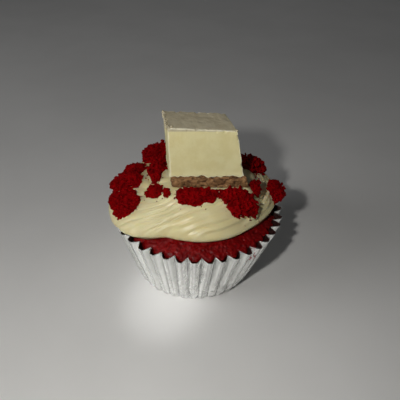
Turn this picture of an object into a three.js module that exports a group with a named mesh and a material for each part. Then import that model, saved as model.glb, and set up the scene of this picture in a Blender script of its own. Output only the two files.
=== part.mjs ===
import * as THREE from 'three';

// A cupcake in a pleated foil case: a dark red sponge, a low swirl of piped icing, an
// upright slice of cheesecake on its biscuit base, and loose clumps of cake crumb.
// Millimetres, +Z up. The origin is the middle of the underside of the case, and the
// front of the cupcake looks towards -Y.

// Foil case: a flat floor and a flared wall pressed into pleats.
const BASE_RADIUS = 25.0;
const RIM_OUTER_FOLD = 35.0;
const RIM_INNER_FOLD = 31.7;
const RIM_HEIGHT = 29.8;
const RIM_TILT = 1.5;
const RIM_SHIFT_X = 1.2;
const PLEATS = 40;
const PLEAT_START_DEG = 224.0;
const HEEL_PLEAT_DEPTH = 0.5;
const FOIL_WALL = 0.5;
const FOIL_FLOOR = 0.4;

// Gaps between pieces that lie against each other, under a clump and under the icing.
const GAP = 0.32;
const CLUMP_BED = 0.45;
const CLUMP_REACH = 0.965;
const ICING_BED = 0.65;

// Sponge: fills the case and rises in a shallow dome.
const SPONGE_EDGE_DROP = 0.8;
const SPONGE_DOME = 7.0;
const SPONGE_EDGE_IN = 0.55;
const SPONGE_FLUTE = 0.45;

// Icing: one wide strand wound inwards into a low mound, set back from the front.
const ICING_X = 2.0;
const ICING_Y = 1.0;
const ICING_RADIUS = 35.2;
const ICING_FRONT_INSET = 7.6;
const ICING_SIDE_INSET = 1.2;
const ICING_LIP_Z = 32.2;
const ICING_TOP_Z = 45.5;
const ICING_DOME_POWER = 2.5;
const ICING_LIP_ROLL = 2.1;
const ICING_CROWN_X = 3.5;
const ICING_CROWN_Y = -4.0;
const SEAT_Z = 45.3;
const SEAT_REACH = 7.5;
const STRAND_FOLDS = 12;
const FOLD_DEPTH = 0.75;
const STRAND_CREASE = 1.0;
const STRAND_CREASE_WIDTH = 1.5;
const CREASE_TURN = 0.25;

// Cheesecake slice: a hand-cut block, a little wider at its foot.
const SLICE_FRONT_Y = -11.0;
const SLICE_BACK_Y = 2.5;
const SLICE_TOP_Z = 70.7;
const SLICE_JOIN_Z = 51.6;
const SLICE_FOOT_Z = 46.0;
const SLICE_TOP_LEAN = 0.6;

const TAU = Math.PI * 2;
const radians = (degrees) => degrees * Math.PI / 180;

// Seeded random numbers, so that every build gives the same lumps and folds.
function seededRandom(seed) {
  let state = seed >>> 0;
  return () => {
    state = (state + 0x6D2B79F5) >>> 0;
    let t = state;
    t = Math.imul(t ^ (t >>> 15), t | 1);
    t ^= t + Math.imul(t ^ (t >>> 7), t | 61);
    return ((t ^ (t >>> 14)) >>> 0) / 4294967296;
  };
}

function smoothstep(low, high, value) {
  const t = Math.min(1, Math.max(0, (value - low) / (high - low)));
  return t * t * (3 - 2 * t);
}

// A closed skin over stacked rings of equal length, with a point at each end.
function skinOverRings(rings, firstPoint, lastPoint) {
  const positions = [];
  const indices = [];
  const count = rings[0].length;
  for (const ring of rings) {
    for (const p of ring) positions.push(p[0], p[1], p[2]);
  }
  for (let k = 0; k < rings.length - 1; k += 1) {
    for (let i = 0; i < count; i += 1) {
      const j = (i + 1) % count;
      const a = k * count + i;
      const b = k * count + j;
      const c = (k + 1) * count + j;
      const d = (k + 1) * count + i;
      indices.push(a, b, c, a, c, d);
    }
  }
  const first = positions.length / 3;
  positions.push(...firstPoint);
  const last = first + 1;
  positions.push(...lastPoint);
  const top = (rings.length - 1) * count;
  for (let i = 0; i < count; i += 1) {
    const j = (i + 1) % count;
    indices.push(first, j, i);
    indices.push(last, top + i, top + j);
  }
  return toGeometry(positions, indices);
}

function toGeometry(positions, indices) {
  const geometry = new THREE.BufferGeometry();
  geometry.setAttribute('position', new THREE.Float32BufferAttribute(positions, 3));
  geometry.setIndex(indices);
  geometry.computeVertexNormals();
  return geometry;
}

// Height of the rim round the case: the left side stands a little higher.
function rimHeight(angle) {
  return RIM_HEIGHT - RIM_TILT * Math.cos(angle);
}

// The pleats: where each fold stands and how deep it is pressed.
const pleatRandom = seededRandom(7);
const pleats = [];
for (let i = 0; i < PLEATS; i += 1) {
  pleats.push({
    shift: (pleatRandom() - 0.5) * 2.0,
    depth: 0.85 + 0.3 * pleatRandom(),
  });
}

// One ring of the foil wall at a fraction of its height. Each pleat has a narrow flat
// on its outer fold and a sharper inner fold.
function foilRing(fraction, inset, z) {
  const middle = (RIM_OUTER_FOLD + RIM_INNER_FOLD) / 2;
  const rimHalf = (RIM_OUTER_FOLD - RIM_INNER_FOLD) / 2;
  const radius = BASE_RADIUS - HEEL_PLEAT_DEPTH / 2 + (middle - BASE_RADIUS) * fraction;
  const half = HEEL_PLEAT_DEPTH / 2 + (rimHalf - HEEL_PLEAT_DEPTH / 2) * fraction;
  const pitch = 360 / PLEATS;
  const ring = [];
  for (let i = 0; i < PLEATS; i += 1) {
    const centre = PLEAT_START_DEG + i * pitch + pleats[i].shift * fraction;
    const next = PLEAT_START_DEG + (i + 1) * pitch + pleats[(i + 1) % PLEATS].shift * fraction;
    const valley = (centre + next) / 2;
    const depth = half * pleats[i].depth;
    const corners = [
      [centre - pitch * 0.13, depth],
      [centre + pitch * 0.13, depth],
      [valley - pitch * 0.06, -depth],
      [valley + pitch * 0.06, -depth],
    ];
    for (const [degrees, offset] of corners) {
      const angle = radians(degrees);
      const r = radius + offset - inset;
      const height = z === null ? rimHeight(angle) * fraction : z;
      ring.push([
        RIM_SHIFT_X * fraction + r * Math.cos(angle),
        r * Math.sin(angle),
        height,
      ]);
    }
  }
  return ring;
}

function buildFoilCase() {
  const rings = [];
  rings.push(foilRing(0.0, 0.6, 0));
  rings.push(foilRing(0.02, 0, 0.6));
  rings.push(foilRing(0.5, 0, null));
  rings.push(foilRing(1.0, 0, null));
  rings.push(foilRing(1.0, FOIL_WALL, null));
  rings.push(foilRing(0.5, FOIL_WALL, null));
  rings.push(foilRing(0.03, FOIL_WALL, FOIL_FLOOR));
  return skinOverRings(rings, [0, 0, 0], [0, 0, FOIL_FLOOR]);
}

// Height of the sponge at a point, highest in the middle and level with the rim's slope.
function spongeHeight(x, y) {
  const across = Math.min(1.05, Math.hypot(x - RIM_SHIFT_X, y) / 31.0);
  const edge = RIM_HEIGHT - SPONGE_EDGE_DROP - RIM_TILT * (x - RIM_SHIFT_X) / 33.0;
  return edge + SPONGE_DOME * (1 - across * across);
}

function buildSponge() {
  const random = seededRandom(31);
  const pitch = 360 / PLEATS;
  const middle = (RIM_OUTER_FOLD + RIM_INNER_FOLD) / 2;
  const rimHalf = (RIM_OUTER_FOLD - RIM_INNER_FOLD) / 2;
  const sideRing = (fraction, level, shrink, z) => {
    const radius = BASE_RADIUS - HEEL_PLEAT_DEPTH / 2 + (middle - BASE_RADIUS) * fraction;
    const half = HEEL_PLEAT_DEPTH / 2 + (rimHalf - HEEL_PLEAT_DEPTH / 2) * fraction;
    const ring = [];
    for (let i = 0; i < PLEATS; i += 1) {
      const centre = PLEAT_START_DEG + i * pitch + pleats[i].shift * fraction;
      const next = PLEAT_START_DEG + (i + 1) * pitch + pleats[(i + 1) % PLEATS].shift * fraction;
      const inner = radius - half * 1.15 - FOIL_WALL - SPONGE_EDGE_IN - shrink;
      const flute = SPONGE_FLUTE * 2 * half * pleats[i].depth;
      for (const [degrees, offset] of [[centre, flute], [(centre + next) / 2, 0]]) {
        const angle = radians(degrees);
        const r = inner + offset;
        const x = RIM_SHIFT_X * fraction + r * Math.cos(angle);
        const y = r * Math.sin(angle);
        const roughTop = spongeHeight(x, y) - 0.5 * random();
        ring.push([x, y, { floor: z, wall: fraction * rimHeight(angle), top: roughTop }[level]]);
      }
    }
    return ring;
  };
  const rings = [];
  rings.push(sideRing(0.03, 'floor', 0.6, FOIL_FLOOR + GAP));
  rings.push(sideRing(0.12, 'wall', 0.2));
  rings.push(sideRing(0.90, 'wall', 0));
  rings.push(sideRing(0.97, 'top', 0.4));
  for (const scale of [0.94, 0.88, 0.82, 0.7, 0.35]) {
    const ring = [];
    const count = PLEATS * 2;
    for (let i = 0; i < count; i += 1) {
      const angle = radians(PLEAT_START_DEG) + TAU * i / count;
      const r = 30.4 * scale;
      const x = RIM_SHIFT_X + r * Math.cos(angle);
      const y = r * Math.sin(angle);
      const roughness = scale > 0.75 ? 0.45 : 0;
      ring.push([x, y, spongeHeight(x, y) - roughness * random()]);
    }
    rings.push(ring);
  }
  const topZ = spongeHeight(RIM_SHIFT_X, 0);
  return skinOverRings(rings, [0, 0, FOIL_FLOOR + GAP], [RIM_SHIFT_X, 0, topZ]);
}

// Plan outline of the icing about its middle: full over the rim at the left and the
// back, drawn in at the front where the sponge shows.
function icingRadius(angle) {
  let degrees = angle * 180 / Math.PI;
  while (degrees > 180) degrees -= 360;
  while (degrees < -180) degrees += 360;
  const inset = smoothstep(-140, -112, degrees) * (1 - smoothstep(-50, 30, degrees));
  const side = Math.max(0, Math.cos(angle - radians(40))) ** 2;
  return ICING_RADIUS - ICING_FRONT_INSET * inset - ICING_SIDE_INSET * side;
}

function icingLip(angle) {
  return ICING_LIP_Z - 0.5 * Math.cos(angle) + 0.7 * Math.max(0, -Math.sin(angle));
}

// Where a point lies between the crown of the icing (0) and its outline (1), and in
// which direction. The crown is drawn forwards and to the right of the outline's middle.
function icingPlace(x, y) {
  let across = 0;
  let angle = 0;
  for (let pass = 0; pass < 12; pass += 1) {
    const dx = x - ICING_X - (1 - across) * ICING_CROWN_X;
    const dy = y - ICING_Y - (1 - across) * ICING_CROWN_Y;
    angle = Math.atan2(dy, dx);
    across = Math.min(1, Math.hypot(dx, dy) / icingRadius(angle));
  }
  return { across, angle };
}

function icingPoint(angle, across) {
  const r = icingRadius(angle) * across;
  return [
    ICING_X + (1 - across) * ICING_CROWN_X + r * Math.cos(angle),
    ICING_Y + (1 - across) * ICING_CROWN_Y + r * Math.sin(angle),
  ];
}

// How much of the seat pushed up round the foot of the slice is left at a point.
function seatShare(x, y) {
  const outX = Math.max(-8 - x, 0, x - 19.5);
  const outY = Math.max(SLICE_FRONT_Y + 1 - y, 0, y - SLICE_BACK_Y + 0.5);
  return 1 - smoothstep(0, SEAT_REACH, Math.hypot(outX, outY));
}

// Smooth top of the icing before the folds are pressed into it.
function icingEnvelope(x, y) {
  const { across, angle } = icingPlace(x, y);
  const foot = icingLip(angle) + ICING_LIP_ROLL;
  const dome = foot + (ICING_TOP_Z - foot) * (1 - across ** ICING_DOME_POWER);
  const past = Math.min(1, Math.max(0, (across - 0.9) / 0.1));
  const rolled = dome - ICING_LIP_ROLL * (1 - Math.sqrt(1 - past * past));
  return rolled + (SEAT_Z - rolled) * seatShare(x, y);
}

// How far the strand has wound inwards by a given heading, as a share of the way from
// the outline to the crown. It runs nearly level along the right and the back, and
// turns inwards quickly at the left front, where it crosses over itself.
const WINDING_PER_DEGREE = [
  [-180, 0.0040], [-150, 0.0100], [-135, 0.0130], [-120, 0.0098], [-105, 0.0080],
  [-92, 0.0055], [-80, 0.0025], [-60, 0.0012], [-40, 0.0015], [-20, 0.0035],
  [0, 0.0042], [20, 0.0025], [45, 0.0020], [135, 0.0020], [180, 0.0040],
];

function windingRate(degrees) {
  let k = 1;
  while (WINDING_PER_DEGREE[k][0] < degrees) k += 1;
  const [fromDegrees, fromRate] = WINDING_PER_DEGREE[k - 1];
  const [toDegrees, toRate] = WINDING_PER_DEGREE[k];
  const t = (degrees - fromDegrees) / (toDegrees - fromDegrees);
  return fromRate * (1 - t) + toRate * t;
}

const windingTable = [0];
for (let degree = 0; degree < 360; degree += 1) {
  windingTable.push(windingTable[degree] + windingRate(degree - 179.5));
}
const WINDING_TURN = windingTable[360];

function wound(heading) {
  let degrees = heading * 180 / Math.PI + 180;
  degrees = ((degrees % 360) + 360) % 360;
  const low = Math.floor(degrees);
  const t = degrees - low;
  return windingTable[low] * (1 - t) + windingTable[low + 1] * t;
}

// Depth of the folds below the smooth top: rounded ridges with narrow grooves, and one
// deeper crease a turn where the strand lies against itself.
function foldDepth(x, y) {
  const { across, angle } = icingPlace(x, y);
  const turns = (across + wound(Math.atan2(y - ICING_Y, x - ICING_X))) / WINDING_TURN;
  const ridge = 1 - Math.abs(Math.sin(Math.PI * turns * STRAND_FOLDS));
  const offset = turns - CREASE_TURN;
  const fromCrease = (offset - Math.round(offset)) * WINDING_TURN * icingRadius(angle);
  const crease = Math.exp(-((fromCrease / STRAND_CREASE_WIDTH) ** 2));
  const fade = smoothstep(0.2, 0.4, across) * (1 - smoothstep(0.9, 1.0, across));
  return fade * (1 - seatShare(x, y)) * (FOLD_DEPTH * ridge + STRAND_CREASE * crease);
}

function buildIcing() {
  const columns = 108;
  const rings = [];
  const addRing = (heightAt) => {
    const ring = [];
    for (let i = 0; i < columns; i += 1) ring.push(heightAt(TAU * i / columns));
    rings.push(ring);
  };
  const overSponge = (x, y) => {
    const angle = Math.atan2(y, x - RIM_SHIFT_X);
    const reach = Math.hypot(x - RIM_SHIFT_X, y);
    const overRim = rimHeight(angle) + ICING_BED;
    const blend = smoothstep(27.5, 30.5, reach);
    const onSponge = spongeHeight(x, y) + ICING_BED;
    return Math.max(onSponge, onSponge * (1 - blend) + Math.max(onSponge, overRim) * blend);
  };
  for (const across of [0.35, 0.6, 0.78, 0.88]) {
    addRing((angle) => {
      const [x, y] = icingPoint(angle, across);
      return [x, y, overSponge(x, y)];
    });
  }
  for (const [across, drop] of [[0.955, 0.8], [0.99, 0.35]]) {
    addRing((angle) => {
      const [x, y] = icingPoint(angle, across);
      return [x, y, Math.max(overSponge(x, y), icingLip(angle) - drop)];
    });
  }
  addRing((angle) => {
    const [x, y] = icingPoint(angle, 1.0);
    return [x, y, icingLip(angle) + 0.35];
  });
  const topRows = [0.99, 0.97, 0.945];
  for (let k = 0; k < 14; k += 1) topRows.push(0.92 - 0.034 * k);
  topRows.push(0.42, 0.34, 0.2);
  for (const across of topRows) {
    addRing((angle) => {
      const [x, y] = icingPoint(angle, across);
      return [x, y, icingEnvelope(x, y) - foldDepth(x, y)];
    });
  }
  const [x, y] = icingPoint(0, 0);
  return skinOverRings(rings, [x, y, overSponge(x, y)], [x, y, icingEnvelope(x, y)]);
}

// Fractions along an edge: a narrow cell at each end keeps the corners crisp.
function cellStops(count, narrow) {
  const stops = [0, narrow];
  for (let i = 1; i < count - 2; i += 1) stops.push(narrow + (1 - 2 * narrow) * i / (count - 2));
  stops.push(1 - narrow, 1);
  return stops;
}

// A block between a foot outline and a top outline, given as four corners each
// (front left, front right, back right, back left). Its edges are eased, and its
// faces wander inwards by a seeded amount.
function buildBlock(foot, top, cells, ease, wander, seed) {
  const random = seededRandom(seed);
  const stops = cells.map(([count, narrow]) => cellStops(count, narrow));
  const positions = [];
  const indices = [];
  const lookup = new Map();
  const plan = (set, u, v, axis) => {
    const front = set[0][axis] * (1 - u) + set[1][axis] * u;
    const back = set[3][axis] * (1 - u) + set[2][axis] * u;
    return front * (1 - v) + back * v;
  };
  const place = (u, v, w) => [0, 1, 2].map((axis) => (
    plan(foot, u, v, axis) * (1 - w) + plan(top, u, v, axis) * w
  ));
  const middle = place(0.5, 0.5, 0.5);
  const vertex = (i, j, k) => {
    const key = `${i},${j},${k}`;
    if (lookup.has(key)) return lookup.get(key);
    const t = [stops[0][i], stops[1][j], stops[2][k]];
    const point = place(...t);
    const outer = t.map((value) => value === 0 || value === 1);
    const meeting = outer.filter(Boolean).length;
    for (let axis = 0; axis < 3; axis += 1) {
      if (!outer[axis]) continue;
      const side = Math.sign(point[axis] - middle[axis]);
      const inwards = ease * (meeting - 1) + wander * random();
      point[axis] -= side * inwards;
    }
    positions.push(...point);
    lookup.set(key, positions.length / 3 - 1);
    return lookup.get(key);
  };
  const quad = (a, b, c, d) => {
    indices.push(a, b, c, a, c, d);
  };
  const [nx, ny, nz] = stops.map((list) => list.length - 1);
  for (let i = 0; i < nx; i += 1) {
    for (let j = 0; j < ny; j += 1) {
      quad(vertex(i, j, 0), vertex(i, j + 1, 0), vertex(i + 1, j + 1, 0), vertex(i + 1, j, 0));
      quad(vertex(i, j, nz), vertex(i + 1, j, nz), vertex(i + 1, j + 1, nz), vertex(i, j + 1, nz));
    }
  }
  for (let i = 0; i < nx; i += 1) {
    for (let k = 0; k < nz; k += 1) {
      quad(vertex(i, 0, k), vertex(i + 1, 0, k), vertex(i + 1, 0, k + 1), vertex(i, 0, k + 1));
      quad(vertex(i, ny, k), vertex(i, ny, k + 1), vertex(i + 1, ny, k + 1), vertex(i + 1, ny, k));
    }
  }
  for (let j = 0; j < ny; j += 1) {
    for (let k = 0; k < nz; k += 1) {
      quad(vertex(0, j, k), vertex(0, j, k + 1), vertex(0, j + 1, k + 1), vertex(0, j + 1, k));
      quad(vertex(nx, j, k), vertex(nx, j + 1, k), vertex(nx, j + 1, k + 1), vertex(nx, j, k + 1));
    }
  }
  return toGeometry(positions, indices);
}

// Four corners of the slice at one height. The left side stands higher by twice the lean.
function outlineAt(z, lean, frontLeft, frontRight, backRight, backLeft) {
  return [
    [frontLeft, SLICE_FRONT_Y, z + lean],
    [frontRight, SLICE_FRONT_Y, z - lean],
    [backRight, SLICE_BACK_Y, z - lean],
    [backLeft, SLICE_BACK_Y, z + lean],
  ];
}

function buildCheesecake() {
  const foot = outlineAt(SLICE_JOIN_Z + GAP, 0, -8.5, 18.6, 16.2, -10.6);
  const top = outlineAt(SLICE_TOP_Z, SLICE_TOP_LEAN, -8.9, 15.7, 11.8, -11.2);
  return buildBlock(foot, top, [[8, 0.03], [5, 0.06], [7, 0.04]], 0.22, 0.14, 5);
}

function buildBiscuitBase() {
  const foot = outlineAt(SLICE_FOOT_Z, 0, -7.9, 21.3, 17.6, -9.6);
  const top = outlineAt(SLICE_JOIN_Z, 0, -8.7, 19.6, 16.2, -10.8);
  return buildBlock(foot, top, [[14, 0.036], [6, 0.075], [4, 0.18]], 0.3, 0.45, 9);
}

// Outward direction of the icing's smooth top at a point.
function icingNormal(x, y) {
  const step = 0.2;
  const slopeX = (icingEnvelope(x + step, y) - icingEnvelope(x - step, y)) / (2 * step);
  const slopeY = (icingEnvelope(x, y + step) - icingEnvelope(x, y - step)) / (2 * step);
  return new THREE.Vector3(-slopeX, -slopeY, 1).normalize();
}

// How far a line from a point runs before it meets the foot of the slice.
function clearOfSlice(middle, angle) {
  const around = [[-9.2, -11.5], [21.8, -11.5], [18.4, 3.0], [-11.4, 3.0]];
  const c = Math.cos(angle);
  const s = Math.sin(angle);
  let nearest = Infinity;
  for (let i = 0; i < 4; i += 1) {
    const [ax, ay] = around[i];
    const [bx, by] = around[(i + 1) % 4];
    const ex = bx - ax;
    const ey = by - ay;
    const cross = c * ey - s * ex;
    if (Math.abs(cross) < 1e-9) continue;
    const along = ((ax - middle[0]) * ey - (ay - middle[1]) * ex) / cross;
    const share = ((ax - middle[0]) * s - (ay - middle[1]) * c) / cross;
    if (along > 0 && share >= 0 && share <= 1) nearest = Math.min(nearest, along);
  }
  return nearest;
}

// A ragged clump of crumb lying on the icing. Its plan is a few round lobes
// [x, y, radius] seen from their middle, its underside follows the icing, and its
// top is lumpy. It stops short of the slice.
function buildClump(clump, seed) {
  const random = seededRandom(seed);
  const sectors = 18;
  const weight = clump.lobes.reduce((sum, lobe) => sum + lobe[2] ** 2, 0);
  const middle = [0, 1].map((axis) => (
    clump.lobes.reduce((sum, lobe) => sum + lobe[axis] * lobe[2] ** 2, 0) / weight
  ));
  const reach = [];
  for (let i = 0; i < sectors; i += 1) {
    const angle = TAU * i / sectors;
    let far = 0.6;
    for (const [lx, ly, lr] of clump.lobes) {
      const dx = lx - middle[0];
      const dy = ly - middle[1];
      const along = dx * Math.cos(angle) + dy * Math.sin(angle);
      const aside = dx * Math.sin(angle) - dy * Math.cos(angle);
      if (Math.abs(aside) < lr) far = Math.max(far, along + Math.sqrt(lr * lr - aside * aside));
    }
    reach.push(Math.min(far * (0.88 + 0.24 * random()), clearOfSlice(middle, angle)));
  }
  const pointAt = (i, scale, lift) => {
    const angle = TAU * i / sectors;
    let x = middle[0] + reach[i] * scale * Math.cos(angle);
    let y = middle[1] + reach[i] * scale * Math.sin(angle);
    const place = icingPlace(x, y);
    if (place.across > CLUMP_REACH) [x, y] = icingPoint(place.angle, CLUMP_REACH);
    const bed = CLUMP_BED + 0.3 * smoothstep(0.84, 0.95, place.across);
    const out = icingNormal(x, y).multiplyScalar(bed + lift);
    return [x + out.x, y + out.y, icingEnvelope(x, y) + out.z];
  };
  const ringAt = (scale, lift, jitter) => {
    const ring = [];
    for (let i = 0; i < sectors; i += 1) ring.push(pointAt(i, scale, lift + jitter * random()));
    return ring;
  };
  const tall = clump.height;
  const rings = [
    ringAt(0.35, 0, 0),
    ringAt(0.68, 0, 0),
    ringAt(0.94, 0, 0.05),
    ringAt(1.0, 0.2 * tall, 0.2 * tall),
    ringAt(0.85, 0.6 * tall, 0.25 * tall),
    ringAt(0.45, 0.75 * tall, 0.3 * tall),
  ];
  return skinOverRings(rings, pointAt(0, 0, 0), pointAt(0, 0, 0.95 * tall));
}

const clumps = [
  {
    name: 'crumb_left_back',
    height: 3.4,
    lobes: [
      [-29.5, 2.4, 3.6], [-25.2, 1.8, 4.3], [-26.0, 7.6, 4.2],
      [-22.4, 0.0, 2.4], [-23.4, 9.6, 3.0],
    ],
  },
  {
    name: 'crumb_left_front',
    height: 3.0,
    lobes: [[-30.2, -6.2, 3.0], [-27.5, -9.4, 4.5], [-24.0, -12.2, 4.4], [-25.0, -7.6, 2.6]],
  },
  {
    name: 'crumb_behind_left',
    height: 5.6,
    lobes: [[-19.2, 19.4, 2.6], [-16.6, 19.0, 3.6], [-11.5, 20.5, 3.4]],
  },
  {
    name: 'crumb_beside_slice',
    height: 3.6,
    lobes: [[-14.4, -1.6, 2.4], [-14.6, 3.6, 3.3], [-13.8, 8.6, 3.0]],
  },
  {
    name: 'crumb_small',
    height: 1.8,
    lobes: [[-16.0, -9.6, 1.7], [-14.0, -10.2, 2.2], [-14.8, -8.0, 1.6]],
  },
  {
    name: 'crumb_tiny',
    height: 1.2,
    lobes: [[-9.6, -12.7, 1.0], [-10.2, -11.5, 0.8]],
  },
  {
    name: 'crumb_front',
    height: 1.9,
    lobes: [
      [-6.0, -12.4, 1.4], [-4.0, -13.2, 2.6], [1.0, -13.8, 3.1],
      [6.4, -13.0, 2.6], [8.9, -12.5, 1.2],
    ],
  },
  {
    name: 'crumb_right_front',
    height: 2.6,
    lobes: [[13.2, -13.6, 2.7], [16.6, -14.0, 4.1], [19.8, -14.3, 3.0]],
  },
  {
    name: 'crumb_right_side',
    height: 2.2,
    lobes: [[22.6, -8.4, 1.5], [22.8, -6.0, 1.3]],
  },
  {
    name: 'crumb_right_back',
    height: 4.0,
    lobes: [[20.8, 4.8, 2.2], [22.0, 9.0, 3.5], [25.0, 12.4, 3.8]],
  },
  {
    name: 'crumb_far_right',
    height: 3.8,
    lobes: [[31.6, 1.6, 2.4], [33.2, -2.2, 2.1]],
  },
  {
    name: 'crumb_back_right',
    height: 2.4,
    lobes: [[13.5, 24.0, 3.6], [17.0, 21.5, 3.0]],
  },
  {
    name: 'crumb_back',
    height: 2.2,
    lobes: [[0.5, 26.5, 3.4], [3.5, 24.2, 3.6], [-1.0, 23.0, 2.6]],
  },
  {
    name: 'crumb_back_small',
    height: 1.6,
    lobes: [[6.0, 12.6, 2.0], [8.0, 13.6, 1.7]],
  },
];

const materials = {
  foil: new THREE.MeshStandardMaterial({ color: 0xc9ccc6, metalness: 1, roughness: 0.25 }),
  sponge: new THREE.MeshStandardMaterial({ color: 0x6d0a0c, roughness: 0.8 }),
  icing: new THREE.MeshStandardMaterial({ color: 0xe4dcb4, roughness: 0.35 }),
  cheesecake: new THREE.MeshStandardMaterial({ color: 0xe0d6a0, roughness: 0.6 }),
  biscuit: new THREE.MeshStandardMaterial({ color: 0x8c6844, roughness: 0.9 }),
  crumb: new THREE.MeshStandardMaterial({ color: 0x7c0610, roughness: 0.9 }),
};

const cupcake = new THREE.Group();
cupcake.name = 'cupcake';

function addPiece(name, geometry, material) {
  const mesh = new THREE.Mesh(geometry, material.clone());
  mesh.name = name;
  cupcake.add(mesh);
}

addPiece('foil_case', buildFoilCase(), materials.foil);
addPiece('sponge', buildSponge(), materials.sponge);
addPiece('icing', buildIcing(), materials.icing);
addPiece('cheesecake', buildCheesecake(), materials.cheesecake);
addPiece('biscuit_base', buildBiscuitBase(), materials.biscuit);
clumps.forEach((clump, index) => {
  addPiece(clump.name, buildClump(clump, 100 + index), materials.crumb);
});

export default cupcake;
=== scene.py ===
# %% [markdown]
# # Dressing a cupcake
#
# A construction model gives this cupcake its sizes: a pleated foil case, a red sponge,
# a swirl of icing, a slice of cheesecake on a biscuit base, and clumps of cake crumb.
# This lesson gives each of them its real surface. The construction is loaded first and
# stays as it is. Each new piece is made in the same place and then stands for its node.

import math
import random

import bmesh
import bpy
import numpy as np
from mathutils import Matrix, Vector, noise
from mathutils.bvhtree import BVHTree


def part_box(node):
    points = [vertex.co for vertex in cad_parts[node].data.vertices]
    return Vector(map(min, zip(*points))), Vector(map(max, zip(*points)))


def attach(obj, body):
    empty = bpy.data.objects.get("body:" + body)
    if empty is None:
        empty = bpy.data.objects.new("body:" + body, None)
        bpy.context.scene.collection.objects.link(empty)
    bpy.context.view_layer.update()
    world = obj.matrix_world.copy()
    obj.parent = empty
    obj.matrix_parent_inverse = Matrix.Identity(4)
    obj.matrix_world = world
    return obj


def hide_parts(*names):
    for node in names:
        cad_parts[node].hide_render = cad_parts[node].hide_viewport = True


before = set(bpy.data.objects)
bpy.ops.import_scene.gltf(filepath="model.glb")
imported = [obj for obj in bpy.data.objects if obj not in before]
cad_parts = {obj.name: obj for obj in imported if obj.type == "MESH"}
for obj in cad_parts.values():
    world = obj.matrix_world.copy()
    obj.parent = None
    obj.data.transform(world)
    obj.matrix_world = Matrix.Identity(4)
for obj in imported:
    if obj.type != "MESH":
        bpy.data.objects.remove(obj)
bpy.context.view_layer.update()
print("nodes:", sorted(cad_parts))

# %% [markdown]
# ## The view and the light
#
# The picture was taken from close by, looking down at 37 degrees. A camera with a 43 mm
# lens on a 36 mm sensor gives the same perspective. A small bright lamp stands just left
# of the camera and as high, so the front is bright and the shadow runs back to the right.

# %% Camera
CAMERA_PLACE = (0.0025, -0.1575, 0.1508)
CAMERA_PITCH = 37.0
LENS = 43.2
SENSOR = 36.0


def add_object(name, data):
    """A new object in the scene that shows the given data."""
    made = bpy.data.objects.new(name, data)
    bpy.context.scene.collection.objects.link(made)
    return made


camera_data = bpy.data.cameras.new("camera")
camera_data.lens = LENS
camera_data.sensor_width = SENSOR
camera_data.clip_start = 0.01
camera = add_object("camera", camera_data)
camera.location = CAMERA_PLACE
camera.rotation_euler = (math.radians(90.0 - CAMERA_PITCH), 0.0, 0.0)
bpy.context.scene.camera = camera
print("camera looks down by", CAMERA_PITCH, "degrees")

# %% [markdown]
# One lamp alone would leave the shade black, so a wide soft panel stands at the left,
# which also makes the table darken towards the right. A weaker panel stands at the back,
# and the surround is a dim grey. A narrow spot from the lamp's own place stands for the
# glow that the bright foil throws on the table at its foot.

# %% Lamps and surround
LAMP_PLACE = Vector((-0.030, -0.134, 0.1526))
LAMP_RADIUS = 0.005
LAMP_POWER = 0.57
LAMP_COLOUR = (1.0, 0.985, 0.95)
FOOT_GLOW_PLACE = Vector((-0.012, -0.026, 0.0))
FOOT_GLOW_DEGREES = 13.5
FOOT_GLOW_POWER = 0.36
LEFT_PANEL = {"place": Vector((-0.55, -0.15, 0.29)), "power": 0.90, "size": 0.34}
BACK_PANEL = {"place": Vector((0.05, 0.60, 0.45)), "power": 0.11, "size": 0.5}
SURROUND_COLOUR = (0.96, 0.98, 1.0, 1.0)
SURROUND_GREY = 0.036


def add_light(name, kind, place, power, aim=Vector()):
    """A light that stands at a place and shines towards its aim."""
    data = bpy.data.lights.new(name, kind)
    data.energy = power
    light = add_object(name, data)
    light.location = place
    light.rotation_euler = (place - aim).to_track_quat("Z", "Y").to_euler()
    return data


lamp = add_light("lamp", "POINT", LAMP_PLACE, LAMP_POWER)
lamp.shadow_soft_size = LAMP_RADIUS
lamp.color = LAMP_COLOUR
foot_glow = add_light("foot_glow", "SPOT", LAMP_PLACE, FOOT_GLOW_POWER, FOOT_GLOW_PLACE)
foot_glow.shadow_soft_size = LAMP_RADIUS
foot_glow.spot_size = math.radians(FOOT_GLOW_DEGREES)
foot_glow.spot_blend = 1.0
for name, panel in (("left_panel", LEFT_PANEL), ("back_panel", BACK_PANEL)):
    add_light(name, "AREA", panel["place"], panel["power"]).size = panel["size"]

world = bpy.data.worlds.new("surround")
world.use_nodes = True
background = world.node_tree.nodes["Background"].inputs
background["Color"].default_value = SURROUND_COLOUR
background["Strength"].default_value = SURROUND_GREY
bpy.context.scene.world = world
bpy.context.scene.view_settings.view_transform = "Standard"
print("lamp stands", round(LAMP_PLACE.length, 3), "m from the middle of the foot")

# %% [markdown]
# ## Small helpers for materials
#
# A material here is a little tree of nodes. One helper adds a node and fills or links its
# sockets, and more of them make the kinds that come back all the time, such as a mix of
# two colours, a soft threshold, and a noise that reads the piece's own coordinates. Those
# are in metres, so a grain of half a millimetre has a scale of about 2000. What is the
# same all over a surface is set on the shader when the material is started, and what
# changes over it is linked when the material is finished.

# %% Node helpers
def tone(red, green, blue):
    """A colour given as on a screen, 0 to 255, turned into the linear values of a node."""
    values = []
    for value in (red, green, blue):
        share = value / 255.0
        values.append(share / 12.92 if share <= 0.04045 else ((share + 0.055) / 1.055) ** 2.4)
    return (*values, 1.0)


def add_node(tree, kind, inputs=None, **settings):
    """Adds a node, applies its settings, and sets each input to a value or links it."""
    made = tree.nodes.new("ShaderNode" + kind)
    for name, value in settings.items():
        setattr(made, name, value)
    for name, value in (inputs or {}).items():
        if isinstance(value, bpy.types.NodeSocket):
            tree.links.new(value, made.inputs[name])
        else:
            made.inputs[name].default_value = value
    return made


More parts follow.
